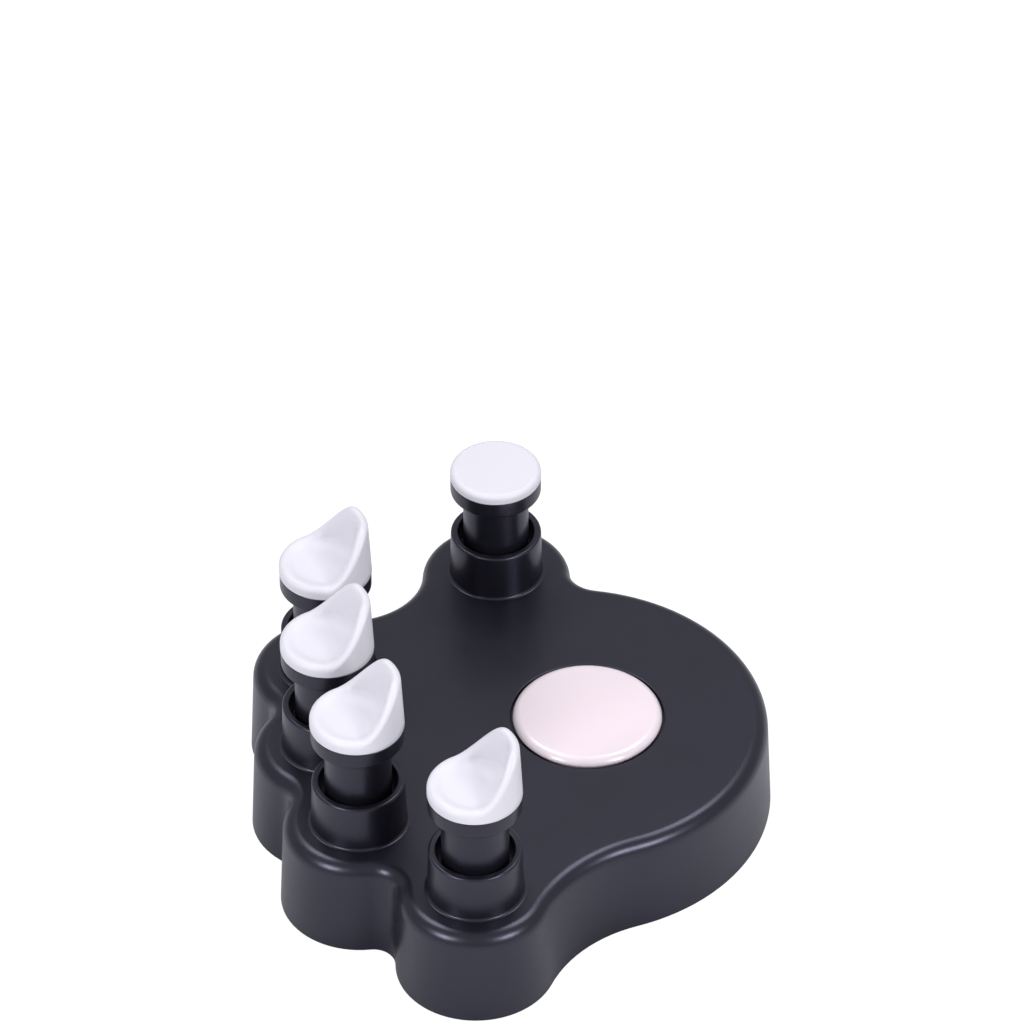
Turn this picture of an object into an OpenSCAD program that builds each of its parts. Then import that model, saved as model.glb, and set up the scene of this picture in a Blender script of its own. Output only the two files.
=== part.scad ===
// Finger exerciser for the left hand: a low palm-shaped base with five sprung pistons.
// Frame: X towards the thumb side, Y the way the fingers point, Z up.
// Origin: on the surface it stands on, under the middle of its bounding box.
// Hand layout values are measured from the centre of the palm disc.

/* [Hand layout] */
// Thumb piston centre
thumb_xy = [56.4, 22.7]; // [-90:0.1:90]
// Index finger piston centre
index_xy = [20.2, 65.2]; // [-90:0.1:90]
// Middle finger piston centre
middle_xy = [-8.8, 64.3]; // [-90:0.1:90]
// Ring finger piston centre
ring_xy = [-36.9, 56.6]; // [-90:0.1:90]
// Little finger piston centre
little_xy = [-61.9, 27.9]; // [-90:0.1:90]

/* [Base outline] */
// Radius of the palm lobe
palm_lobe_r = 51.75; // [49:0.25:54]
// How far the palm lobe's centre lies ahead of the palm disc
palm_lobe_y = 5.5; // [3:0.5:8]
// Radius of the lobe round each piston
lobe_r = 19.9; // [18:0.1:21]
// Hollow radius between the palm and the thumb
palm_thumb_hollow_r = 6.8; // [5:0.1:10]
// Hollow radius between the thumb and the index finger
thumb_index_hollow_r = 18; // [14:0.5:24]
// Hollow radius between two neighbouring fingers
finger_hollow_r = 5.5; // [4:0.1:7]
// Hollow radius between the little finger and the palm
little_palm_hollow_r = 36; // [28:0.5:44]

/* [Base shell] */
// Height of the shell from its bottom edge to its top face
shell_h = 26.3; // [25:0.1:29]
// Inward draft of the side wall over its height
side_draft = 1; // [0.4:0.1:1.4]
// Radius of the rounded top edge
edge_r = 3.8; // [2:0.1:4]
// Wall thickness
wall = 2.5; // [2:0.1:3]
// How far the rubber feet hold the shell above the surface
foot_gap = 1; // [0.6:0.1:1.5]
// Thickness of the bottom cover
cover_t = 3; // [2.8:0.1:3.4]

/* [Palm disc] */
// Radius of the glossy palm disc
disc_r = 18.7; // [16:0.1:20]
// Depth of its recess in the shell
disc_recess = 1.4; // [1:0.1:1.6]
// How far the disc's middle stands above the shell
disc_crown = 2.1; // [0.5:0.1:2.4]
// Radius of the disc's rounded shoulder
disc_shoulder_r = 2.5; // [2.4:0.1:4.2]

/* [Pistons] */
// Height of the collar above the shell
collar_h = 13; // [11:0.1:14]
// Collar radius at its foot
collar_foot_r = 11.88; // [11.5:0.01:12.2]
// Collar radius at its rim
collar_rim_r = 11.5; // [11.2:0.01:11.8]
// Radius of the collar's open mouth
collar_mouth_r = 9.6; // [9.2:0.1:10]
// Radius of the piston stem
stem_r = 8.3; // [8.1:0.05:8.6]
// Radial running clearance of the stem in its guide
stem_fit = 0.07; // [0.04:0.01:0.1]
// How far a piston can be pressed down
travel = 13.5; // [8:0.5:13.5]
// Radius of the flange under each cap
flange_r = 11.5; // [11:0.1:11.8]
// Thickness of the flange
flange_t = 4.5; // [4:0.1:5]

/* [Caps] */
// Radius of a finger cap
cap_r = 11.65; // [11:0.05:12]
// Height of a finger cap at its raised end
cap_peak_h = 15.2; // [10:0.1:17]
// Height of a finger cap at its open end
cap_low_h = 3.3; // [3:0.1:3.8]
// Height of the seat where the fingertip rests
cap_seat_h = 2.5; // [2:0.1:2.7]
// Direction that the raised ends face, anticlockwise from X
cap_azimuth = -76; // [-100:1:-50]
// Radius of the thumb disc
thumb_disc_r = 11.55; // [11:0.05:11.8]
// Thickness of the thumb disc
thumb_disc_t = 2.6; // [2.5:0.1:4]

/* [Springs] */
// Wire diameter
wire_d = 1.2; // [0.8:0.1:1.3]
// Mean radius of the coil
coil_r = 5.5; // [5.4:0.1:5.7]
// Number of turns, with one closed turn at each end
coil_turns = 10; // [7:1:12]

/* [Hidden] */
$fn = 64;

black = [0.1, 0.1, 0.12];
white = [0.93, 0.93, 0.97];
pale_pink = [0.94, 0.87, 0.92];
steel = [0.75, 0.76, 0.78];
rubber = [0.16, 0.16, 0.17];

// ---- frame: the palm disc's place, worked out from the outline's own box ----
palm_xy = [0, palm_lobe_y];
box_left = little_xy[0] - lobe_r;
box_right = thumb_xy[0] + lobe_r;
box_back = palm_lobe_y - palm_lobe_r;
box_front = index_xy[1] + lobe_r;
disc_xy = -[box_left + box_right, box_back + box_front] / 2;

// ---- heights ----
shell_z = foot_gap;
top_z = shell_z + shell_h;
ceiling_z = top_z - wall;
cover_z = shell_z + 0.2;
floor_z = cover_z + cover_t;
rim_z = top_z + collar_h;
press_gap = 0.15;
flange_z = rim_z + travel + press_gap;
cap_z = flange_z + flange_t;
guide_z = floor_z + 1;
stem_z = floor_z + 1 + travel;

// ---- screws, bosses and feet, measured from the palm disc like the pistons ----
screw_spots = [[-14, -34], [14, -34], [-42, 6], [30, 36], [-24, 36], [5, 44]];
boss_r = 4;
pilot_r = 1.3;
screw_r = 1.25;
screw_hole_r = 1.6;
screw_head_r = 2.7;
screw_head_t = 1.5;
screw_sink = 1.7;
screw_len = 12;
palm_foot_xy = [32, -20];
foot_r = 6;
foot_sink = 1;

// ---- seat and retention details ----
guide_tube_r = 11.4;
mouth_depth = 6;
stem_bore_r = 6.6;
stem_roof = 5.2;
seat_r = 4.6;
seat_h = 3;
barb_w = 3.8;
barb_h = 3;
barb_out = 2;
slot_w = 4.2;
slit_w = 0.9;
slit_h = 12;
spigot_r = 4.95;
spigot_len = 4;
spigot_hole_r = 5;
disc_pin_xy = [10, 0];
disc_pin_r = 2.45;
disc_pin_hole_r = 2.5;
disc_pin_len = 2;
disc_gap = 0.6;

// ---- base outline: circles joined by hollow arcs, anticlockwise ----
lobes = [[palm_xy, palm_lobe_r, palm_thumb_hollow_r],
         [thumb_xy, lobe_r, thumb_index_hollow_r],
         [index_xy, lobe_r, finger_hollow_r],
         [middle_xy, lobe_r, finger_hollow_r],
         [ring_xy, lobe_r, finger_hollow_r],
         [little_xy, lobe_r, little_palm_hollow_r]];

function direction(v) = atan2(v[1], v[0]);
function above(a, b) = a < b ? above(a + 360, b) : a;
function arc(c, r, a0, a1, n) =
    [for (i = [0:n]) let (a = a0 + (a1 - a0) * i / n) c + r * [cos(a), sin(a)]];

// Centre of the hollow arc that touches lobe p and the next lobe q from outside
function hollow(p, q) =
    let (d = q[0] - p[0], gap = norm(d), u = d / gap,
         rp = p[1] + p[2], rq = q[1] + p[2],
         along = (gap * gap + rp * rp - rq * rq) / (2 * gap),
         out = sqrt(rp * rp - along * along))
    p[0] + along * u + out * [u[1], -u[0]];

function lobe(i) = lobes[(i + len(lobes)) % len(lobes)];

// Lobe i's own arc, then the hollow arc to the next lobe, both moved inward by inset
function lobe_points(i, inset) =
    let (p = lobe(i), q = lobe(i + 1),
         before = hollow(lobe(i - 1), p), after = hollow(p, q),
         a0 = direction(before - p[0]), a1 = above(direction(after - p[0]), a0),
         b1 = direction(q[0] - after), b0 = above(direction(p[0] - after), b1),
         n = ceil((a1 - a0) * sqrt(p[1]) / 42),
         m = max(3, ceil((b0 - b1) / 12)),
         hollow_arc = arc(after, p[2] + inset, b0, b1, m))
    concat(arc(p[0], p[1] - inset, a0, a1, n), [for (k = [1:m - 1]) hollow_arc[k]]);

function outline(inset) =
    [for (i = [0:len(lobes) - 1]) for (p = lobe_points(i, inset)) p + disc_xy];

// ---- solids swept from rings of points ----
function ring_at(points, z) = [for (p = points) [p[0], p[1], z]];

// Closes a stack of equal rings with a fan at each end; ends holds the two fan centres
module ring_stack(rings, ends) {
    n = len(rings[0]);
    last = len(rings) - 1;
    points = concat([for (r = rings) for (p = r) p], ends);
    sides = [for (k = [0:last - 1]) for (i = [0:n - 1])
        let (j = (i + 1) % n, a = k * n + i, b = k * n + j)
        for (t = [[a, a + n, b], [b, a + n, b + n]]) t];
    fans = [for (i = [0:n - 1]) let (j = (i + 1) % n)
        for (t = [[i, j, n * (last + 1)], [last * n + j, last * n + i, n * (last + 1) + 1]]) t];
    polyhedron(points = points, faces = concat(sides, fans));
}

function smooth(t) = let (s = min(1, max(0, t))) s * s * (3 - 2 * s);
function bezier(p, t) =
    pow(1 - t, 3) * p[0] + 3 * t * pow(1 - t, 2) * p[1] + 3 * t * t * (1 - t) * p[2] + pow(t, 3) * p[3];

module at(xy, z = 0) translate([disc_xy[0] + xy[0], disc_xy[1] + xy[1], z]) children();

// ---- base shell ----
module shell_outside() {
    steps = 5;
    side = [[shell_z, 0], [top_z - edge_r, side_draft]];
    edge = [for (k = [1:steps]) let (a = 90 * k / steps)
        [top_z - edge_r + edge_r * sin(a), side_draft + edge_r * (1 - cos(a))]];
    levels = concat(side, edge);
    rings = [for (level = levels) ring_at(outline(level[1]), level[0])];
    ring_stack(rings, [[0, 0, shell_z], [0, 0, top_z]]);
}

module inside(inset, z0, z1) {
    translate([0, 0, z0]) linear_extrude(z1 - z0) polygon(outline(inset));
}

// Collar above the shell and guide tube below it, before boring
module piston_tube() {
    foot_round = 0.7;
    rim_round = 0.6;
    rotate_extrude() polygon([
        [0, top_z - 1], [collar_foot_r + foot_round, top_z - 1],
        [collar_foot_r + foot_round, top_z], [collar_foot_r, top_z + foot_round],
        [collar_rim_r, rim_z - rim_round], [collar_rim_r - rim_round, rim_z], [0, rim_z]]);
    translate([0, 0, guide_z]) cylinder(r = guide_tube_r, h = top_z - 0.5 - guide_z);
}

module piston_bores() {
    slot_top = stem_z + barb_h + press_gap;
    translate([0, 0, guide_z - 1]) cylinder(r = stem_r + stem_fit, h = rim_z - guide_z + 2);
    translate([0, 0, rim_z - mouth_depth]) cylinder(r = collar_mouth_r, h = mouth_depth + 1);
    translate([-guide_tube_r - 1, -slot_w / 2, guide_z - 1])
        cube([2 * guide_tube_r + 2, slot_w, slot_top - guide_z + 1]);
}

module top_shell() {
    pistons = [thumb_xy, index_xy, middle_xy, ring_xy, little_xy];
    color(black) difference() {
        union() {
            difference() {
                shell_outside();
                inside(side_draft + wall, shell_z - 1, ceiling_z);
                inside(wall - 0.4, shell_z - 1, floor_z);
            }
            for (p = pistons) at(p) piston_tube();
            for (p = screw_spots) at(p, floor_z) cylinder(r = boss_r, h = ceiling_z + 1 - floor_z);
        }
        for (p = pistons) at(p) piston_bores();
        for (p = screw_spots) at(p, floor_z - 1) cylinder(r = pilot_r, h = screw_len + 2);
        at([0, 0], top_z - disc_recess) cylinder(r = disc_r + disc_gap, h = disc_recess + 1);
        for (side = [-1, 1]) at(side * disc_pin_xy, ceiling_z - 1) cylinder(r = disc_pin_hole_r, h = wall + 2);
    }
}

// ---- bottom cover with spring seats, foot recesses and sunk screw holes ----
module bottom_cover() {
    color(black) difference() {
        union() {
            inside(wall - 0.25, cover_z, floor_z);
            for (p = [thumb_xy, index_xy, middle_xy, ring_xy, little_xy])
                at(p, floor_z - 1) cylinder(r = seat_r, h = seat_h + 1);
        }
        for (p = screw_spots) {
            at(p, cover_z - 1) cylinder(r = screw_hole_r, h = cover_t + 2);
            at(p, cover_z - 1) cylinder(r = screw_head_r + 0.3, h = screw_sink + 1);
        }
        for (p = [thumb_xy, index_xy, ring_xy, little_xy, palm_foot_xy, [-palm_foot_xy[0], palm_foot_xy[1]]])
            at(p, cover_z - 1) cylinder(r = foot_r + 0.1, h = foot_sink + 1);
    }
}

module cover_screws() {
    cross_w = 3.2;
    cross_slot = 0.7;
    cross_depth = 0.8;
    head_z = cover_z + screw_sink - screw_head_t;
    color(steel) for (p = screw_spots) at(p, head_z) difference() {
        union() {
            cylinder(r = screw_head_r, h = screw_head_t);
            cylinder(r = screw_r, h = screw_head_t + screw_len - 1);
        }
        for (turn = [0, 90]) rotate(turn) translate([-cross_w / 2, -cross_slot / 2, -1])
            cube([cross_w, cross_slot, cross_depth + 1]);
    }
}

module foot(xy) {
    foot_edge = 0.4;
    color(rubber) at(xy) rotate_extrude() polygon([
        [0, 0], [foot_r - foot_edge, 0], [foot_r, foot_edge],
        [foot_r, cover_z + foot_sink], [0, cover_z + foot_sink]]);
}

// ---- palm disc: a crowned pebble on a flat back, with two locating pins ----
module palm_disc() {
    back_z = top_z - disc_recess;
    crown_z = top_z + disc_crown;
    edge_angle = acos(1 - disc_crown / disc_shoulder_r);
    shoulder_xz = [disc_r - disc_shoulder_r * sin(edge_angle), crown_z - disc_shoulder_r];
    shoulder = arc(shoulder_xz, disc_shoulder_r, 90 - edge_angle, 90, 8);
    color(pale_pink) at([0, 0]) {
        rotate_extrude() polygon(concat([[0, back_z], [disc_r, back_z]], shoulder, [[0, crown_z]]));
        for (side = [-1, 1]) translate([side * disc_pin_xy[0], disc_pin_xy[1], back_z - disc_pin_len])
            cylinder(r = disc_pin_r, h = disc_pin_len + 0.5);
    }
}

// ---- piston: flange and hollow stem, with two snap barbs on slit legs ----
module plunger(xy) {
    flange_edge = 0.4;
    roof_z = cap_z - stem_roof;
    color(black) at(xy) difference() {
        union() {
            rotate_extrude() polygon([
                [0, stem_z], [stem_r, stem_z], [stem_r, flange_z],
                [flange_r - flange_edge, flange_z], [flange_r, flange_z + flange_edge],
                [flange_r, cap_z], [0, cap_z]]);
            translate([-stem_r - barb_out, -barb_w / 2, stem_z])
                cube([2 * (stem_r + barb_out), barb_w, barb_h]);
        }
        translate([0, 0, stem_z - 1]) cylinder(r = stem_bore_r, h = roof_z - stem_z + 1);
        translate([0, 0, roof_z - 1]) cylinder(r = spigot_hole_r, h = stem_roof + 2);
        for (side = [-1, 1]) translate([-stem_r - 1, side * (barb_w + slit_w) / 2 - slit_w / 2, stem_z - 1])
            cube([2 * stem_r + 2, slit_w, slit_h + 1]);
    }
}

// ---- caps ----
// Height of a finger cap's rim at an angle away from its raised end
function rim_height(a) =
    let (away = abs(a > 180 ? a - 360 : a), flat = 24, low = 103.5)
    cap_low_h + (cap_peak_h - cap_low_h) * smooth((low - away) / (low - flat));

// Section of a cap whose rim is h high: bottom edge, rounded rim, inner wall, crease, then the dished seat
function cap_profile(h) =
    let (lean = 0.7, round_r = 1.45, wall_run = 1.8, crease_low = 0.25, crease_rise = 1.7,
         raised = (h - cap_low_h) / (cap_peak_h - cap_low_h),
         crest = cap_r - lean * raised - round_r,
         wall_r = crest - wall_run, wall_z = cap_seat_h + crease_low + crease_rise * sqrt(raised),
         rim = [for (k = [0:3]) let (a = 90 * k / 3)
             [crest + round_r * cos(a), h - round_r + round_r * sin(a)]],
         seat_drop = wall_z - cap_seat_h,
         wall_curve = [[crest, h], [crest - 1.5, h],
                       [crest - 1.2, wall_z + 0.4 * (h - wall_z)], [wall_r, wall_z]],
         seat_curve = [[wall_r, wall_z], [wall_r - 0.8, wall_z - 0.5 * seat_drop],
                       [wall_r - 2.4, cap_seat_h], [2.5, cap_seat_h]])
    concat([[cap_r - 0.3, 0], [cap_r, 0.3]], rim,
           [for (k = [1:5]) bezier(wall_curve, k / 5)], [for (k = [1:4]) bezier(seat_curve, k / 4)]);

module spigot() translate([0, 0, cap_z - spigot_len]) cylinder(r = spigot_r, h = spigot_len + 1);

module finger_cap(xy) {
    steps = 40;
    profiles = [for (i = [0:steps - 1]) cap_profile(rim_height(360 * i / steps))];
    rings = [for (k = [0:len(profiles[0]) - 1]) [for (i = [0:steps - 1])
        let (a = cap_azimuth + 360 * i / steps, p = profiles[i][k])
        [p[0] * cos(a), p[0] * sin(a), cap_z + p[1]]]];
    color(white) at(xy) {
        ring_stack(rings, [[0, 0, cap_z], [0, 0, cap_z + cap_seat_h - 0.1]]);
        spigot();
    }
}

module thumb_cap(xy) {
    edge = 1.4;
    rounded = arc([thumb_disc_r - edge, cap_z + thumb_disc_t - edge], edge, 0, 90, 6);
    color(white) at(xy) {
        rotate_extrude() polygon(concat([[0, cap_z], [thumb_disc_r - 0.2, cap_z], [thumb_disc_r, cap_z + 0.2]],
                                        rounded, [[0, cap_z + thumb_disc_t]]));
        spigot();
    }
}

// ---- compression spring with closed ends, as one swept wire ----
module spring(xy) {
    segments = 14;
    sides = 6;
    rest_gap = 0.04;
    low_z = floor_z + wire_d / 2 + rest_gap;
    high_z = cap_z - stem_roof - wire_d / 2 - rest_gap;
    open_turns = coil_turns - 2;
    steps = coil_turns * segments;
    rings = [for (s = [0:steps])
        let (turn = s / segments, open = min(open_turns, max(0, turn - 1)),
             closed_rise = wire_d * (turn - open),
             z = low_z + closed_rise + (high_z - low_z - 2 * wire_d) * open / open_turns)
        [for (k = [0:sides - 1]) let (b = -360 * k / sides, r = coil_r + wire_d / 2 * cos(b))
            [r * cos(360 * turn), r * sin(360 * turn), z + wire_d / 2 * sin(b)]]];
    color(steel) at(xy) ring_stack(rings, [[coil_r, 0, low_z], [coil_r, 0, high_z]]);
}

top_shell();
bottom_cover();
palm_disc();
cover_screws();
plunger(thumb_xy);  // plunger_thumb
plunger(index_xy);  // plunger_index
plunger(middle_xy);  // plunger_middle
plunger(ring_xy);  // plunger_ring
plunger(little_xy);  // plunger_little
thumb_cap(thumb_xy);  // cap_thumb
finger_cap(index_xy);  // cap_index
finger_cap(middle_xy);  // cap_middle
finger_cap(ring_xy);  // cap_ring
finger_cap(little_xy);  // cap_little
spring(thumb_xy);  // spring_thumb
spring(index_xy);  // spring_index
spring(middle_xy);  // spring_middle
spring(ring_xy);  // spring_ring
spring(little_xy);  // spring_little
foot(thumb_xy);  // foot_thumb
foot(index_xy);  // foot_index
foot(ring_xy);  // foot_ring
foot(little_xy);  // foot_little
foot([-palm_foot_xy[0], palm_foot_xy[1]]);  // foot_palm_left
foot(palm_foot_xy);  // foot_palm_right
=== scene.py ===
import math

import bmesh
import bpy
import numpy as np
from mathutils import Matrix, Vector
from mathutils.geometry import delaunay_2d_cdt


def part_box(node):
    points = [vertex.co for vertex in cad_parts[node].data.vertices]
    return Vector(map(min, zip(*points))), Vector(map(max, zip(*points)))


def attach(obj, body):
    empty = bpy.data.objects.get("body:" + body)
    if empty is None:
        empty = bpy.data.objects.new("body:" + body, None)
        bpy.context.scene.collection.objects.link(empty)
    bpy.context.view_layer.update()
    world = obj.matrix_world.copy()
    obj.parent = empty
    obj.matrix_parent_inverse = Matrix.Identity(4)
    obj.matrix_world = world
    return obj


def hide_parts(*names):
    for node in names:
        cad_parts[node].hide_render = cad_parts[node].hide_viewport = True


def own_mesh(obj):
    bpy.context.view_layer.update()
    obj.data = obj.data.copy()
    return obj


# Finger exerciser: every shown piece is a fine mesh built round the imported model's own places and sizes.
# Lengths are in millimetres in the making of the meshes, and MM turns them into metres at the end.

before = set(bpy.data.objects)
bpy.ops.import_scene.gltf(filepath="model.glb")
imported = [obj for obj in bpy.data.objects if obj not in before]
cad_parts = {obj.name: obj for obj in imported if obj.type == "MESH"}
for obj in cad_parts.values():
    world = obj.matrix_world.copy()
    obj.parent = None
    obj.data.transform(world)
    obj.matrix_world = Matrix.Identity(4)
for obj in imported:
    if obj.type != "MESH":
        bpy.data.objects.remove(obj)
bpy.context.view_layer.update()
MM = 0.001
FINGERS = ("thumb", "index", "middle", "ring", "little")
SCOOPED = FINGERS[1:]
FEET = ("thumb", "index", "ring", "little", "palm_left", "palm_right")


# ---- places and sizes, read from the frame ----
def low(node):
    return np.array(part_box(node)[0]) / MM


def high(node):
    return np.array(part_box(node)[1]) / MM


def centre(node):
    return (low(node)[:2] + high(node)[:2]) / 2


def radius(node):
    return (high(node)[0] - low(node)[0]) / 2


disc_xy = centre("palm_disc")
disc_r = radius("palm_disc")
disc_top = high("palm_disc")[2]
pistons = {name: centre("cap_" + name) for name in FINGERS}
shell_z = low("top_shell")[2]
rim_z = high("top_shell")[2]
stem_z = low("plunger_thumb")[2]
cap_z = high("plunger_thumb")[2]
flange_r = radius("cap_thumb") - 0.05
cap_r = radius("cap_index")
cap_peak_h = high("cap_index")[2] - cap_z
thumb_cap_t = high("cap_thumb")[2] - cap_z
cover_z = low("bottom_cover")[2]
spring_low_z = low("spring_thumb")[2]
spring_high_z = high("spring_thumb")[2]

# ---- sizes that the boxes don't show ----
collar_h = 13.0
top_z = rim_z - collar_h
collar_foot_r, collar_rim_r, collar_mouth_r = 11.88, 11.5, 9.6
mouth_depth = 6.0
guide_r, guide_tube_r = 8.37, 11.4
stem_r, stem_bore_r = 8.3, 6.6
flange_t = 4.5
flange_z = cap_z - flange_t
stem_roof = 5.2
spigot_r, spigot_len = 4.95, 4.0
wall = 2.5
cover_t = 3.0
floor_z = cover_z + cover_t
guide_z = floor_z + 1
ceiling_z = top_z - wall
side_draft, edge_r = 1.0, 3.8
recess_depth, recess_gap, shoulder_r = 1.4, 0.6, 2.5
pin_offset, pin_r, pin_len = 10.0, 2.45, 2.0
seat_r, seat_h = 4.6, 3.0
boss_r, pilot_r, screw_len = 4.0, 1.3, 12.0
screw_hole_r, screw_head_r, screw_head_t, screw_sink = 1.6, 2.7, 1.5, 1.7
foot_sink = 1.0
barb_out, barb_low, barb_high, barb_half_w = 2.0, 0.4, 3.0, 1.9
slot_half_w, slot_roof = 2.1, 3.15
slit_y_offset, slit_half_w, slit_h = 2.35, 0.45, 12.0
wire_d, coil_turns = 1.2, 10
cap_low_h, cap_seat_h, cap_azimuth = 3.3, 2.5, -76.0
cap_low_angle, cap_high_angle = 103.5, 24.0
cap_lean, cap_round_r, thumb_round_r = 0.7, 1.45, 1.4
palm_lobe_r, palm_lobe_y, lobe_r = 51.75, 5.5, 19.9
screw_spots = [disc_xy + p for p in ((-14, -34), (14, -34), (-42, 6), (30, 36), (-24, 36), (5, 44))]

# Each lobe: centre, radius, and the radius of the hollow that leads to the next lobe, anticlockwise
lobes = [
    (disc_xy + (0, palm_lobe_y), palm_lobe_r, 6.8),
    (pistons["thumb"], lobe_r, 18.0),
    (pistons["index"], lobe_r, 5.5),
    (pistons["middle"], lobe_r, 5.5),
    (pistons["ring"], lobe_r, 5.5),
    (pistons["little"], lobe_r, 36.0),
]


# ---- outline of the base ----
def arc(middle, r, start, end, step):
    """Points along an arc, at most step degrees apart, with both ends."""
    count = max(2, math.ceil(abs(end - start) / step)) + 1
    a = np.radians(np.linspace(start, end, count))
    return np.asarray(middle) + r * np.column_stack([np.cos(a), np.sin(a)])


def heading(v):
    return math.degrees(math.atan2(v[1], v[0]))


def hollow(p, q):
    """Centre of the hollow arc that touches lobes p and q from outside."""
    reach_p, reach_q = p[1] + p[2], q[1] + p[2]
    gap = q[0] - p[0]
    distance = np.hypot(*gap)
    u = gap / distance
    along = (distance**2 + reach_p**2 - reach_q**2) / (2 * distance)
    out = math.sqrt(reach_p**2 - along**2)
    return p[0] + along * u + out * np.array([u[1], -u[0]])


def outline(inset):
    """The base's outline moved inward by inset; every inset has the same number of points."""
    points = []
    for i, p in enumerate(lobes):
        before, after = hollow(lobes[i - 1], p), hollow(p, lobes[(i + 1) % len(lobes)])
        start, end = heading(before - p[0]), heading(after - p[0])
        end += 360 * (end < start)
        points.append(arc(p[0], p[1] - inset, start, end, 90 / math.sqrt(p[1]) / 4))
        start, end = heading(p[0] - after), heading(lobes[(i + 1) % len(lobes)][0] - after)
        start += 360 * (start < end)
        points.append(arc(after, p[2] + inset, start, end, 24 / math.sqrt(p[2]))[1:-1])
    return np.vstack(points)


def circle(xy, r, segments=96):
    return arc(xy, r, 0, 360, 360 / segments)[:-1]


# ---- closed solids from rings ----
class Solid:
    """A closed mesh put together from rings of points, strips between rings and flat fills."""

    def __init__(self):
        self.bm = bmesh.new()

    def ring(self, points, z):
        heights = np.broadcast_to(z, len(points))
        return [self.bm.verts.new((p[0] * MM, p[1] * MM, h * MM)) for p, h in zip(points, heights)]

    def strip(self, rings):
        for a, b in zip(rings, rings[1:]):
            for i in range(len(a)):
                j = (i + 1) % len(a)
                self.bm.faces.new((a[i], a[j], b[j], b[i]))

    def revolve(self, xy, profile, segments=96):
        """Rings of a turned shape about a vertical axis, joined by strips; profile is (radius, z) pairs."""
        rings = [self.ring(circle(xy, r, segments), z) for r, z in profile]
        self.strip(rings)
        return rings

    def fill(self, outer, holes=()):
        """A flat face inside the ring outer, open at each ring of holes."""
        verts = list(outer) + [v for h in holes for v in h]
        edges, first = [], 0
        for loop in (outer, *holes):
            n = len(loop)
            edges += [(first + i, first + (i + 1) % n) for i in range(n)]
            first += n
        flat = [Vector((v.co.x / MM, v.co.y / MM)) for v in verts]
        out = delaunay_2d_cdt(flat, edges, [], 1, 1e-6)
        source = [ids[0] for ids in out[3]]
        inner = [[(p.x, p.y) for p in (flat[verts.index(v)] for v in h)] for h in holes]
        for face in out[2]:
            middle = sum((flat[source[k]] for k in face), Vector((0, 0))) / len(face)
            if not any(inside(middle, h) for h in inner):
                self.bm.faces.new([verts[source[k]] for k in face])

    def cut(self, cutters, keep="DIFFERENCE"):
        """Takes the solid cutters away from this one, or adds them with keep as UNION."""
        target, tool = self.mesh_object("target"), cutters.mesh_object("tool")
        modifier = target.modifiers.new("cut", "BOOLEAN")
        modifier.operation = keep
        modifier.solver = "EXACT"
        modifier.object = tool
        result = target.evaluated_get(bpy.context.evaluated_depsgraph_get()).to_mesh()
        self.bm = bmesh.new()
        self.bm.from_mesh(result)
        for o in (target, tool):
            bpy.data.objects.remove(o)

    def box(self, lowest, highest):
        size = np.subtract(highest, lowest) * MM
        place = Matrix.Translation(Vector(np.add(highest, lowest) * MM / 2)) @ Matrix.Diagonal((*size, 1))
        bmesh.ops.create_cube(self.bm, size=1, matrix=place)

    def mesh_object(self, name):
        bmesh.ops.recalc_face_normals(self.bm, faces=self.bm.faces)
        mesh = bpy.data.meshes.new(name)
        self.bm.to_mesh(mesh)
        self.bm.free()
        piece = bpy.data.objects.new(name, mesh)
        bpy.context.scene.collection.objects.link(piece)
        bpy.context.view_layer.update()
        return piece


def inside(p, loop):
    """Whether p lies in the convex loop."""
    n = len(loop)
    turns = [(loop[(i + 1) % n][0] - loop[i][0]) * (p[1] - loop[i][1])
             - (loop[(i + 1) % n][1] - loop[i][1]) * (p[0] - loop[i][0]) for i in range(n)]
    return min(turns) > 0 or max(turns) < 0


def smooth_shading(mesh, sharp_above=38):
    """Smooth normals with crisp edges, and level faces that stay level right up to their rounded edges."""
    mesh.shade_smooth()
    mesh.set_sharp_from_angle(angle=math.radians(sharp_above))
    corner = np.array([n.vector[:] for n in mesh.corner_normals])
    level = np.zeros((len(mesh.vertices), 3))
    for face in mesh.polygons:
        if abs(face.normal.z) > 0.99999:
            level[list(face.vertices)] = face.normal
    verts = np.array([loop.vertex_index for loop in mesh.loops])
    wanted = level[verts]
    near = (corner * wanted).sum(1) > math.cos(math.radians(30))
    corner[near] = wanted[near]
    mesh.normals_split_custom_set(corner.tolist())


def finished(solid, node, body, material, sharp_above=38):
    """The solid as a shown piece that stands for a CAD node."""
    piece = solid.mesh_object(node + "_fine")
    smooth_shading(piece.data, sharp_above)
    piece.data.materials.append(material)
    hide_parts(node)
    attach(piece, body)
    return piece


def rounded(*corners, step=12):
    """A profile through (radius, z, rounding) corners: arcs at the roundings, long runs divided."""
    n = len(corners)
    points = []
    for i, (r, z, fillet) in enumerate(corners):
        here = np.array([r, z], float)
        if fillet == 0:
            points.append(here)
            continue
        to_last = np.array(corners[i - 1][:2]) - here
        to_next = np.array(corners[(i + 1) % n][:2]) - here
        to_last /= np.hypot(*to_last)
        to_next /= np.hypot(*to_next)
        half = math.acos(float(np.clip(to_last @ to_next, -1, 1))) / 2
        back = fillet / math.tan(half)
        middle = here + (to_last + to_next) / np.hypot(*(to_last + to_next)) * fillet / math.sin(half)
        start = heading(here + to_last * back - middle)
        end = heading(here + to_next * back - middle)
        end += 360 * round((start - end) / 360)
        points.extend(arc(middle, fillet, start, end, step))
    dense = []
    for a, b in zip(points, points[1:]):
        runs = max(1, math.ceil(np.hypot(*(b - a)) / 1.5))
        dense += [a + (b - a) * k / runs for k in range(runs)]
    return dense + [points[-1]]


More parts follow.
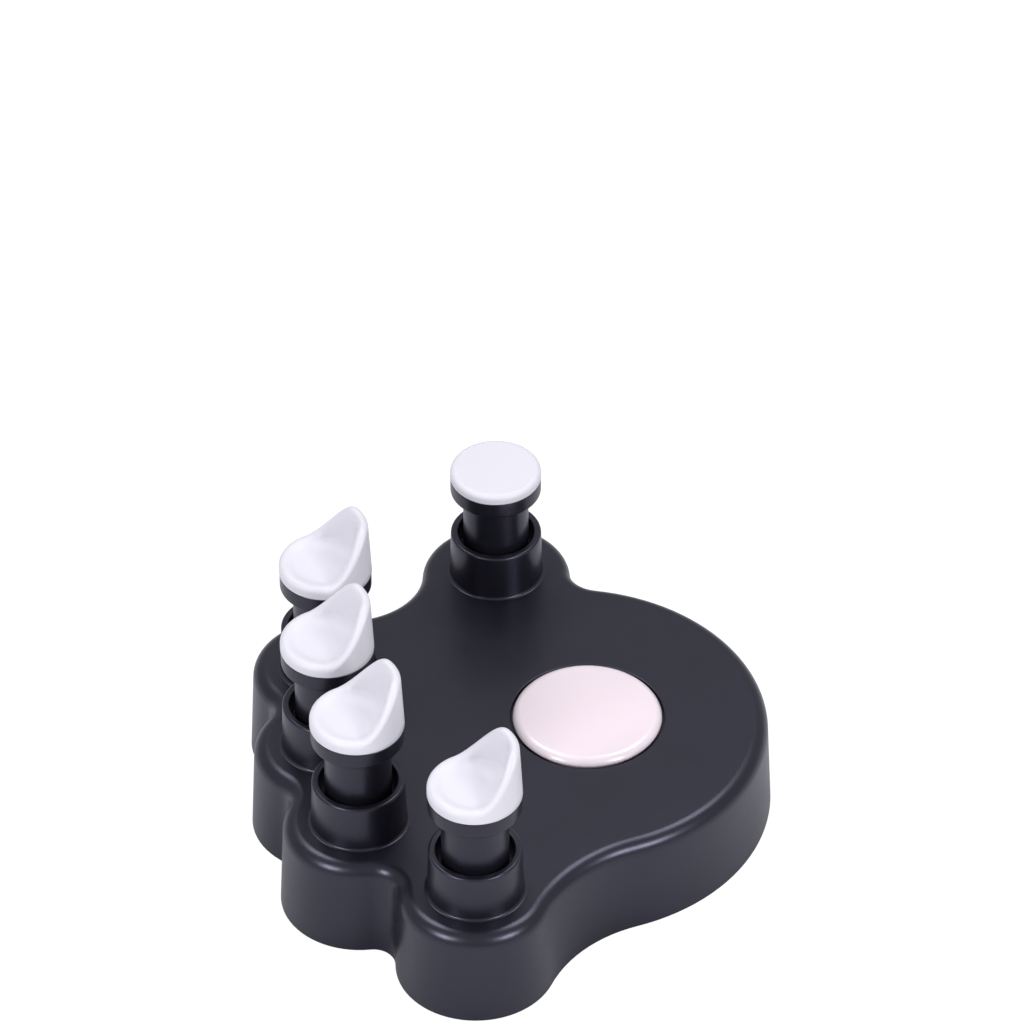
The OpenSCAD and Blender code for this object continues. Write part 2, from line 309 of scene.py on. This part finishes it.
# ---- materials ----
def shader(name):
    material = bpy.data.materials.new(name)
    material.use_nodes = True
    nodes = material.node_tree.nodes
    return material, nodes, material.node_tree.links, nodes["Principled BSDF"]


def noise(nodes, links, coordinates, scale, detail=3.0, roughness=0.5):
    texture = nodes.new("ShaderNodeTexNoise")
    texture.inputs["Scale"].default_value = scale
    texture.inputs["Detail"].default_value = detail
    texture.inputs["Roughness"].default_value = roughness
    links.new(coordinates, texture.inputs["Vector"])
    return texture.outputs["Fac"]


def ranged(nodes, links, value, lowest, highest, start=0.3, end=0.7):
    spread = nodes.new("ShaderNodeMapRange")
    spread.inputs["From Min"].default_value = start
    spread.inputs["From Max"].default_value = end
    spread.inputs["To Min"].default_value = lowest
    spread.inputs["To Max"].default_value = highest
    links.new(value, spread.inputs["Value"])
    return spread.outputs["Result"]


def tinted(nodes, links, factor, first, second):
    mix = nodes.new("ShaderNodeMix")
    mix.data_type = "RGBA"
    mix.inputs["A"].default_value = (*first, 1)
    mix.inputs["B"].default_value = (*second, 1)
    links.new(factor, mix.inputs["Factor"])
    return mix.outputs["Result"]


def bumps(nodes, links, bsdf, *layers):
    """Layers of (height, strength, distance in millimetres), one on the other."""
    normal = None
    for height, strength, distance in layers:
        bump = nodes.new("ShaderNodeBump")
        bump.inputs["Strength"].default_value = strength
        bump.inputs["Distance"].default_value = distance * MM
        links.new(height, bump.inputs["Height"])
        if normal is not None:
            links.new(normal, bump.inputs["Normal"])
        normal = bump.outputs["Normal"]
    links.new(normal, bsdf.inputs["Normal"])


def moulded_plastic(name, colour, variation, roughness, grain_mm, grain,
                    waviness=0.0, specular=0.5, tint=(1, 1, 1)):
    """Injection-moulded plastic: colour drift, fine spark-eroded grain, uneven gloss and slow sink waves."""
    material, nodes, links, bsdf = shader(name)
    place = nodes.new("ShaderNodeTexCoord").outputs["Object"]
    drift = noise(nodes, links, place, 45, 4)
    fine = noise(nodes, links, place, 1 / (grain_mm * MM), 2)
    handling = noise(nodes, links, place, 160, 5, 0.65)
    wave = noise(nodes, links, place, 28, 1)
    darker = [c * (1 - variation) for c in colour]
    lighter = [c * (1 + variation) for c in colour]
    shade = tinted(nodes, links, ranged(nodes, links, drift, 0, 1), darker, lighter)
    links.new(shade, bsdf.inputs["Base Color"])
    gloss = ranged(nodes, links, handling, roughness - 0.01, roughness + 0.015)
    links.new(gloss, bsdf.inputs["Roughness"])
    bsdf.inputs["Specular IOR Level"].default_value = specular
    bsdf.inputs["Specular Tint"].default_value = (*tint, 1)
    bumps(nodes, links, bsdf, (wave, waviness, 0.4), (fine, grain, 0.02))
    return material


def bare_metal(name, colour, roughness, grain_mm):
    """Drawn or plated steel with fine streaks."""
    material, nodes, links, bsdf = shader(name)
    place = nodes.new("ShaderNodeTexCoord").outputs["Object"]
    streak = noise(nodes, links, place, 1 / (grain_mm * MM), 4)
    stain = noise(nodes, links, place, 220, 4)
    darker = [c * 0.8 for c in colour]
    shade = tinted(nodes, links, ranged(nodes, links, stain, 0, 1), darker, colour)
    links.new(shade, bsdf.inputs["Base Color"])
    links.new(ranged(nodes, links, streak, roughness - 0.08, roughness + 0.1), bsdf.inputs["Roughness"])
    bsdf.inputs["Metallic"].default_value = 1
    bumps(nodes, links, bsdf, (streak, 0.25, 0.01))
    return material


def glossy_disc():
    """Pale pink glossy plastic: clear skin over a softly scattering body, with the faintest orange peel."""
    material, nodes, links, bsdf = shader("palm_gloss")
    place = nodes.new("ShaderNodeTexCoord").outputs["Object"]
    cloud = noise(nodes, links, place, 60, 3)
    peel = noise(nodes, links, place, 420, 1)
    smear = noise(nodes, links, place, 140, 5, 0.6)
    clouded = ranged(nodes, links, cloud, 0, 1)
    colour = tinted(nodes, links, clouded, (0.845, 0.742, 0.774), (0.857, 0.752, 0.784))
    links.new(colour, bsdf.inputs["Base Color"])
    links.new(ranged(nodes, links, smear, 0.25, 0.27), bsdf.inputs["Roughness"])
    bsdf.inputs["Coat Weight"].default_value = 0.6
    bsdf.inputs["Coat Roughness"].default_value = 0.15
    bsdf.inputs["Subsurface Weight"].default_value = 1.0
    bsdf.inputs["Subsurface Radius"].default_value = (1.0, 1.0, 1.0)
    bsdf.inputs["Subsurface Scale"].default_value = 0.003
    bumps(nodes, links, bsdf, (peel, 0.05, 0.02))
    return material


BLUISH = (0.78, 0.77, 1.0)
DAYLIGHT = (0.955, 0.95, 1.0)
BLACK = (0.0085, 0.0085, 0.0125)
shell_black = moulded_plastic("shell_black", BLACK, variation=0.08, roughness=0.30, grain_mm=0.25,
                              grain=0.02, waviness=0.015, specular=0.66, tint=BLUISH)
piston_black = moulded_plastic("piston_black", BLACK, variation=0.08, roughness=0.30, grain_mm=0.25,
                               grain=0.02, specular=0.60, tint=BLUISH)
cap_white = moulded_plastic("cap_white", (0.715, 0.71, 0.752), variation=0.015, roughness=0.42,
                            grain_mm=0.30, grain=0.08)
foot_rubber = moulded_plastic("foot_rubber", (0.03, 0.03, 0.031), variation=0.15, roughness=0.75,
                              grain_mm=0.18, grain=0.35, specular=0.3)
spring_steel = bare_metal("spring_steel", (0.60, 0.60, 0.62), roughness=0.28, grain_mm=0.2)
screw_steel = bare_metal("screw_steel", (0.62, 0.62, 0.60), roughness=0.35, grain_mm=0.15)
palm_gloss = glossy_disc()


# ---- top shell: outside, collars, guide tubes, bosses and cavity in one skin ----
def collar(solid, xy):
    """One collar with its guide tube. Returns the rings that join the shell's top and its ceiling."""
    profile = rounded(
        (guide_tube_r, ceiling_z, 0), (guide_tube_r, guide_z, 0.3), (guide_r, guide_z, 0.3),
        (guide_r, rim_z - mouth_depth, 0.2), (collar_mouth_r, rim_z - mouth_depth, 0),
        (collar_mouth_r, rim_z, 0.5), (collar_rim_r, rim_z, 0.7),
        (collar_foot_r, top_z, 0.8), (collar_foot_r + 1.2, top_z, 0))
    rings = solid.revolve(xy, profile)
    return rings[-1], rings[0]


def boss(solid, xy):
    """One screw boss below the ceiling, with a blind pilot bore. Returns the ring that joins the ceiling."""
    profile = rounded(
        (boss_r, ceiling_z, 0), (boss_r, floor_z, 0.3), (pilot_r, floor_z, 0.3),
        (pilot_r, floor_z + screw_len + 1, 0))
    rings = solid.revolve(xy, profile, 48)
    solid.fill(rings[-1])
    return rings[0]


def make_top_shell():
    """The casing: outer side with its soft edge, top with five collars and the recess, and the cavity."""
    solid = Solid()
    side_h = top_z - edge_r - shell_z
    side = [(shell_z + h, side_draft * h / side_h) for h in np.linspace(0, side_h, 15)]
    edge = [(top_z - edge_r + edge_r * math.sin(a), side_draft + edge_r * (1 - math.cos(a)))
            for a in np.radians(np.linspace(0, 90, 13)[1:])]
    lip, inner = wall - 0.4, wall + side_draft
    lower_edge = [(shell_z + 0.3, lip), (shell_z, lip + 0.3), (shell_z, 0.3)]
    inner_side = [(ceiling_z - h, inner) for h in np.linspace(0, ceiling_z - floor_z, 12)]
    levels = inner_side + [(floor_z, lip)] + lower_edge + [(shell_z + 0.3, side[0][1])] + side[1:] + edge
    rings = [solid.ring(outline(inset), z) for z, inset in levels]
    solid.strip(rings)
    tops, ceilings = zip(*[collar(solid, xy) for xy in pistons.values()])
    bosses = [boss(solid, xy) for xy in screw_spots]
    recess = solid.revolve(disc_xy, rounded(
        (disc_r + recess_gap + 0.8, top_z, 0), (disc_r + recess_gap, top_z, 0.35),
        (disc_r + recess_gap, top_z - recess_depth, 0), (disc_r - 4, top_z - recess_depth, 0)), 160)
    solid.fill(recess[-1])
    solid.fill(rings[-1], [*tops, recess[0]])
    solid.fill(rings[0], [*ceilings, *bosses])
    cutters = Solid()
    for xy in pistons.values():
        reach = np.array([guide_tube_r + 1, slot_half_w])
        cutters.box((*(xy - reach), guide_z - 1), (*(xy + reach), stem_z + slot_roof))
    for side_of_disc in (-1, 1):
        hole_xy = disc_xy + (side_of_disc * pin_offset, 0)
        hole = cutters.revolve(hole_xy, [(pin_r + 0.05, ceiling_z - 1), (pin_r + 0.05, top_z - 1)], 40)
        cutters.fill(hole[0])
        cutters.fill(hole[-1])
    solid.cut(cutters)
    finished(solid, "top_shell", "base", shell_black)


# ---- bottom cover ----
def make_bottom_cover():
    """The plate that closes the casing, with recesses for feet and screws and five spring seats."""
    solid = Solid()
    inset = wall - 0.25
    levels = [(cover_z, inset + 0.3), (cover_z + 0.3, inset), (floor_z - 0.2, inset), (floor_z, inset + 0.2)]
    rings = [solid.ring(outline(i), z) for z, i in levels]
    solid.strip(rings)
    below, above = [], []
    for name in FEET:
        foot_xy, foot_r = centre("foot_" + name), radius("foot_" + name) + 0.1
        recess = solid.revolve(foot_xy, rounded(
            (foot_r + 0.3, cover_z, 0), (foot_r, cover_z, 0.15), (foot_r, cover_z + foot_sink, 0)), 72)
        solid.fill(recess[-1])
        below.append(recess[0])
    for xy in screw_spots:
        hole = solid.revolve(xy, rounded(
            (screw_head_r + 0.7, cover_z, 0), (screw_head_r + 0.3, cover_z, 0.2),
            (screw_head_r + 0.3, cover_z + screw_sink, 0), (screw_hole_r, cover_z + screw_sink, 0),
            (screw_hole_r, floor_z, 0)), 48)
        below.append(hole[0])
        above.append(hole[-1])
    for xy in pistons.values():
        seat = solid.revolve(xy, rounded(
            (seat_r + 0.8, floor_z, 0), (seat_r, floor_z, 0.5), (seat_r, floor_z + seat_h, 0.8),
            (seat_r - 1.6, floor_z + seat_h, 0)), 72)
        solid.fill(seat[-1])
        above.append(seat[0])
    solid.fill(rings[0], below)
    solid.fill(rings[-1], above)
    finished(solid, "bottom_cover", "base", shell_black)


def make_foot(name):
    """A rubber foot with a soft edge and two shallow grip grooves in its underside."""
    solid = Solid()
    node = "foot_" + name
    r, top = radius(node), high(node)[2]
    grooves = [(ring_r + dr, 0.35 * deep, 0.1) for ring_r in (4.2, 2.6)
               for dr, deep in ((0.35, 0), (0.2, 1), (-0.2, 1), (-0.35, 0))]
    profile = rounded((0.9, top, 0), (r, top, 0.15), (r, 0, 0.6), *grooves, (0.9, 0, 0))
    rings = solid.revolve(centre(node), profile, 72)
    solid.fill(rings[0])
    solid.fill(rings[-1])
    finished(solid, node, "base", foot_rubber)


# ---- screws ----
def make_cover_screws():
    """Pan-head self-tapping screws with a cross recess and a cut thread."""
    solid, crosses = Solid(), Solid()
    head_z = cover_z + screw_sink - screw_head_t
    shoulder_z = head_z + screw_head_t
    tip_z = shoulder_z + screw_len - 1
    pitch, crest_r, root_r, rows, segments = 1.3, 1.25, 0.95, 72, 32
    for xy in screw_spots:
        head = rounded((0.8, head_z, 0), (screw_head_r, head_z, 0.9), (screw_head_r, shoulder_z, 0.1),
                       (root_r, shoulder_z, 0), step=15)
        rings = [solid.ring(circle(xy, r, segments), z) for r, z in head]
        solid.fill(rings[0])
        for row in range(1, rows + 1):
            z = shoulder_z + (tip_z - shoulder_z) * row / rows
            phase = (z / pitch - np.arange(segments) / segments) % 1
            ridge = np.clip(1 - np.abs(phase - 0.5) * 4, 0, 1)
            taper = min(1.0, (tip_z - z) / 2.5 + 0.25)
            reach = (root_r + (crest_r - root_r) * ridge) * taper
            rings.append(solid.ring(xy + reach[:, None] * circle((0, 0), 1, segments), z))
        solid.strip(rings)
        solid.fill(rings[-1])
        arm, half = 1.6, 0.35
        quarter = np.array([(arm, -half), (arm, half), (half, half)])
        turned = [quarter, quarter[:, ::-1] * (-1, 1), -quarter, quarter[:, ::-1] * (1, -1)]
        plus = xy + np.vstack(turned)
        cross = [crosses.ring(plus, z) for z in (head_z - 1, head_z + 0.8)]
        crosses.strip(cross)
        for end in cross:
            crosses.bm.faces.new(end)
    solid.cut(crosses)
    finished(solid, "cover_screws", "base", screw_steel)


# ---- palm disc ----
def make_palm_disc():
    """A low glossy dome with a round shoulder that tucks in below its edge, and two pins underneath."""
    solid = Solid()
    back_z, sag_tilt, sag = top_z - recess_depth, 3.5, 0.5
    edge_angle = math.degrees(math.acos(1 - (disc_top - sag - top_z) / shoulder_r))
    shoulder_xz = (disc_r - shoulder_r * math.sin(math.radians(edge_angle)), disc_top - sag - shoulder_r)
    shoulder = arc(shoulder_xz, shoulder_r, 90 - edge_angle, 90 - sag_tilt, 3)
    under = [(disc_r - 0.9, back_z), (disc_r - 0.7, top_z - 0.7), (disc_r - 0.25, top_z - 0.3)]
    dome_r, dome_z = shoulder[-1]
    dome = [(dome_r * k, dome_z + sag * (1 - k * k)) for k in np.linspace(1, 0.04, 26)[1:]]
    rings = solid.revolve(disc_xy, [*under, *shoulder, *dome], 160)
    solid.fill(rings[-1])
    pins = []
    for side_of_disc in (-1, 1):
        pin_xy = disc_xy + (side_of_disc * pin_offset, 0)
        pin = solid.revolve(pin_xy, rounded(
            (pin_r, back_z, 0), (pin_r, back_z - pin_len, 0.3), (0.8, back_z - pin_len, 0)), 40)
        solid.fill(pin[-1])
        pins.append(pin[0])
    solid.fill(rings[0], pins)
    finished(solid, "palm_disc", "base", palm_gloss)


# ---- pistons ----
def make_plunger(name):
    """Flange and hollow stem, turned, with two snap barbs on slit legs at its lower end."""
    xy = pistons[name]
    solid = Solid()
    roof_z = cap_z - stem_roof
    profile = rounded(
        (stem_bore_r, stem_z, 0.2), (stem_r, stem_z, 0.3), (stem_r, flange_z, 0.3), (flange_r, flange_z, 0.6),
        (flange_r, cap_z, 0.2), (spigot_r + 0.05, cap_z, 0.2), (spigot_r + 0.05, roof_z, 0),
        (stem_bore_r, roof_z, 0.4))
    rings = solid.revolve(xy, profile)
    solid.strip([rings[-1], rings[0]])
    barbs, slits = Solid(), Solid()
    across = np.array([stem_r + 1, slit_half_w])
    for side_of_stem in (-1, 1):
        inner, outer = stem_bore_r + 0.5, stem_r + barb_out
        start, end = sorted((xy[0] + side_of_stem * inner, xy[0] + side_of_stem * outer))
        near_side, far_side = xy[1] - barb_half_w, xy[1] + barb_half_w
        barbs.box((start, near_side, stem_z + barb_low), (end, far_side, stem_z + barb_high))
        slit_xy = xy + (0, side_of_stem * slit_y_offset)
        slits.box((*(slit_xy - across), stem_z - 1), (*(slit_xy + across), stem_z + slit_h))
    solid.cut(barbs, "UNION")
    solid.cut(slits)
    finished(solid, "plunger_" + name, "piston_" + name, piston_black)


def rim_height(away):
    """Height of a finger cap's rim, away degrees from its raised end."""
    off_peak = np.abs((away + 180) % 360 - 180)
    t = np.clip((cap_low_angle - off_peak) / (cap_low_angle - cap_high_angle), 0, 1)
    return cap_low_h + (cap_peak_h - cap_low_h) * t * t * (3 - 2 * t)


def bezier(a, b, c, d, t):
    """The cubic curve from a to d, drawn towards b and c."""
    return (1 - t) ** 3 * a + 3 * t * (1 - t) ** 2 * b + 3 * t * t * (1 - t) * c + t**3 * d


def spigot(solid, xy, segments):
    """The peg under a cap. Returns the ring that joins the cap's underside."""
    rings = solid.revolve(xy, rounded(
        (spigot_r, cap_z, 0), (spigot_r, cap_z - spigot_len, 0.4), (1.5, cap_z - spigot_len, 0)), segments)
    solid.fill(rings[-1])
    return rings[0]


def make_finger_cap(name):
    """A round cap whose rim sweeps up into a scoop on the palm side, round a dished seat."""
    xy, segments = pistons[name], 160
    turn = np.arange(segments) * 360 / segments
    h = rim_height(turn)
    raised = (h - cap_low_h) / (cap_peak_h - cap_low_h)
    steep = np.sqrt(raised)
    lean, round_r = cap_lean * raised, cap_round_r
    crest = cap_r - lean - round_r
    wall_r, wall_z = crest - 1.8, cap_seat_h + 0.4 + 1.55 * steep
    seat_drop = (wall_z - cap_seat_h) * (0.8 - 0.3 * raised)
    level_ring = np.ones(segments)
    levels = [((cap_r - 0.3) * level_ring, 0 * level_ring), (cap_r * level_ring, 0.3 * level_ring)]
    for k in np.linspace(0.15, 0.85, 8):
        levels.append((cap_r - lean * k, 0.3 + (h - round_r - 0.3) * k))
    for a in np.radians(np.linspace(0, 90, 10)):
        levels.append((crest + round_r * math.cos(a), h - round_r + round_r * math.sin(a)))
    for t in np.linspace(0, 1, 17)[1:]:
        levels.append((bezier(crest, crest - 0.6 - 1.3 * steep, crest - 1.2 - 0.1 * steep, wall_r, t),
                       bezier(h, h, wall_z + 0.5 * (h - wall_z), wall_z, t)))
    for t in np.linspace(0, 1, 13)[1:]:
        levels.append((bezier(wall_r, wall_r - 0.9, wall_r - 3.0, 2.5, t),
                       bezier(wall_z, wall_z - seat_drop, cap_seat_h, cap_seat_h, t)))
    ways = np.radians(cap_azimuth + turn)
    around = np.column_stack([np.cos(ways), np.sin(ways)])
    solid = Solid()
    rings = [solid.ring(xy + around * np.asarray(r)[:, None], cap_z + z) for r, z in levels]
    solid.strip(rings)
    solid.fill(rings[-1])
    solid.fill(rings[0], [spigot(solid, xy, 64)])
    finished(solid, "cap_" + name, "piston_" + name, cap_white, 60)


def make_thumb_cap():
    """A flat disc with a rounded edge."""
    solid = Solid()
    xy, r = pistons["thumb"], radius("cap_thumb")
    top = cap_z + thumb_cap_t
    edges = (r - 0.5, cap_z, 0), (r, cap_z, 0.2), (r, top, thumb_round_r), (r - 3, top, 0)
    profile = rounded(*edges, step=8)
    rings = solid.revolve(xy, profile, 160)
    solid.fill(rings[-1])
    solid.fill(rings[0], [spigot(solid, xy, 64)])
    finished(solid, "cap_thumb", "piston_thumb", cap_white)


# ---- springs ----
def make_spring(name):
    """Round wire on a helix with one closed turn at each end."""
    xy, coil_r = pistons[name], radius("spring_thumb") - wire_d / 2
    low_z, high_z = spring_low_z + wire_d / 2, spring_high_z - wire_d / 2
    per_turn, sides, open_turns = 48, 12, coil_turns - 2
    around = np.radians(np.arange(sides) * 360 / sides)
    solid = Solid()
    rings = []
    for step in range(coil_turns * per_turn + 1):
        turn = step / per_turn
        opened = min(open_turns, max(0.0, turn - 1))
        z = low_z + wire_d * (turn - opened) + (high_z - low_z - 2 * wire_d) * opened / open_turns
        r = coil_r + wire_d / 2 * np.cos(around)
        a = math.radians(360 * turn)
        points = np.column_stack([xy[0] + r * math.cos(a), xy[1] + r * math.sin(a)])
        rings.append(solid.ring(points, z + wire_d / 2 * np.sin(around)))
    solid.strip(rings)
    for end in (rings[0], rings[-1]):
        solid.bm.faces.new(end)
    piece = finished(solid, "spring_" + name, "base", spring_steel)
    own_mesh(piece)


make_top_shell()
make_bottom_cover()
make_cover_screws()
make_palm_disc()
for foot_name in FEET:
    make_foot(foot_name)
for finger in FINGERS:
    make_plunger(finger)
    make_spring(finger)
for finger in SCOOPED:
    make_finger_cap(finger)
make_thumb_cap()


# ---- floor, light and camera ----
def make_floor():
    """A white sweep: the camera sees it lit evenly, with only a faint shadow round the object."""
    material, nodes, links, bsdf = shader("floor_white")
    bsdf.inputs["Base Color"].default_value = (0.70, 0.70, 0.72, 1)
    bsdf.inputs["Roughness"].default_value = 0.8
    glow = nodes.new("ShaderNodeEmission")
    glow.inputs["Strength"].default_value = 1.2
    rays = nodes.new("ShaderNodeLightPath")
    share = nodes.new("ShaderNodeMath")
    share.operation = "MULTIPLY"
    share.inputs[1].default_value = 0.8
    mix = nodes.new("ShaderNodeMixShader")
    links.new(rays.outputs["Is Camera Ray"], share.inputs[0])
    links.new(share.outputs[0], mix.inputs[0])
    links.new(bsdf.outputs[0], mix.inputs[1])
    links.new(glow.outputs[0], mix.inputs[2])
    links.new(mix.outputs[0], nodes["Material Output"].inputs["Surface"])
    mesh = bpy.data.meshes.new("floor")
    reach = 3.0
    corners = [(-reach, -reach, 0), (reach, -reach, 0), (reach, reach, 0), (-reach, reach, 0)]
    mesh.from_pydata(corners, [], [(0, 1, 2, 3)])
    mesh.materials.append(material)
    floor = bpy.data.objects.new("floor", mesh)
    bpy.context.scene.collection.objects.link(floor)


def area_light(name, aim, azimuth, elevation, distance, width, height, radiance):
    """A softbox that faces aim; azimuth is where it stands, anticlockwise from X."""
    light = bpy.data.lights.new(name, "AREA")
    light.shape = "RECTANGLE"
    light.size = width
    light.size_y = height
    light.energy = radiance * math.pi * width * height
    light.color = DAYLIGHT
    lamp = bpy.data.objects.new(name, light)
    a, e = math.radians(azimuth), math.radians(elevation)
    way = Vector((math.cos(a) * math.cos(e), math.sin(a) * math.cos(e), math.sin(e)))
    lamp.location = aim + way * distance
    lamp.rotation_euler = way.to_track_quat("Z", "Y").to_euler()
    bpy.context.scene.collection.objects.link(lamp)


def make_lights(aim):
    """Soft white surroundings and four softboxes: high behind and low in front, on the left and the right."""
    world = bpy.data.worlds.new("studio")
    world.use_nodes = True
    world.node_tree.nodes["Background"].inputs["Color"].default_value = (*DAYLIGHT, 1)
    world.node_tree.nodes["Background"].inputs["Strength"].default_value = 0.46
    bpy.context.scene.world = world
    area_light("high_left", aim, 38, 62, 1.1, 0.48, 0.28, 6.6)
    area_light("high_right", aim, -38, 62, 1.1, 0.48, 0.28, 6.6)
    area_light("front_left", aim, 135, 34, 0.8, 0.24, 0.24, 14.0)
    area_light("front_right", aim, 225, 34, 0.8, 0.24, 0.24, 14.0)


def make_camera():
    """The product view: from the little finger's side, looking down at the palm."""
    elevation, roll, distance, lens = 40.54, -0.27, 1.875, 263.7
    disc_to_aim = (33.2, 18.6, 38.9)
    aim = Vector((*disc_xy, top_z)) * MM + Vector(disc_to_aim) * MM
    turn = (Matrix.Rotation(math.radians(-90), 4, "Z") @ Matrix.Rotation(math.radians(90 - elevation), 4, "X")
            @ Matrix.Rotation(math.radians(roll), 4, "Z"))
    camera = bpy.data.objects.new("camera", bpy.data.cameras.new("camera"))
    camera.data.lens = lens
    camera.data.sensor_width = 36
    camera.data.clip_end = 20
    camera.matrix_world = Matrix.Translation(aim) @ turn @ Matrix.Translation((0, 0, distance))
    bpy.context.scene.collection.objects.link(camera)
    bpy.context.scene.camera = camera


make_floor()
make_lights(Vector((0, 0, top_z * MM)))
make_camera()
bpy.context.scene.view_settings.view_transform = "Standard"
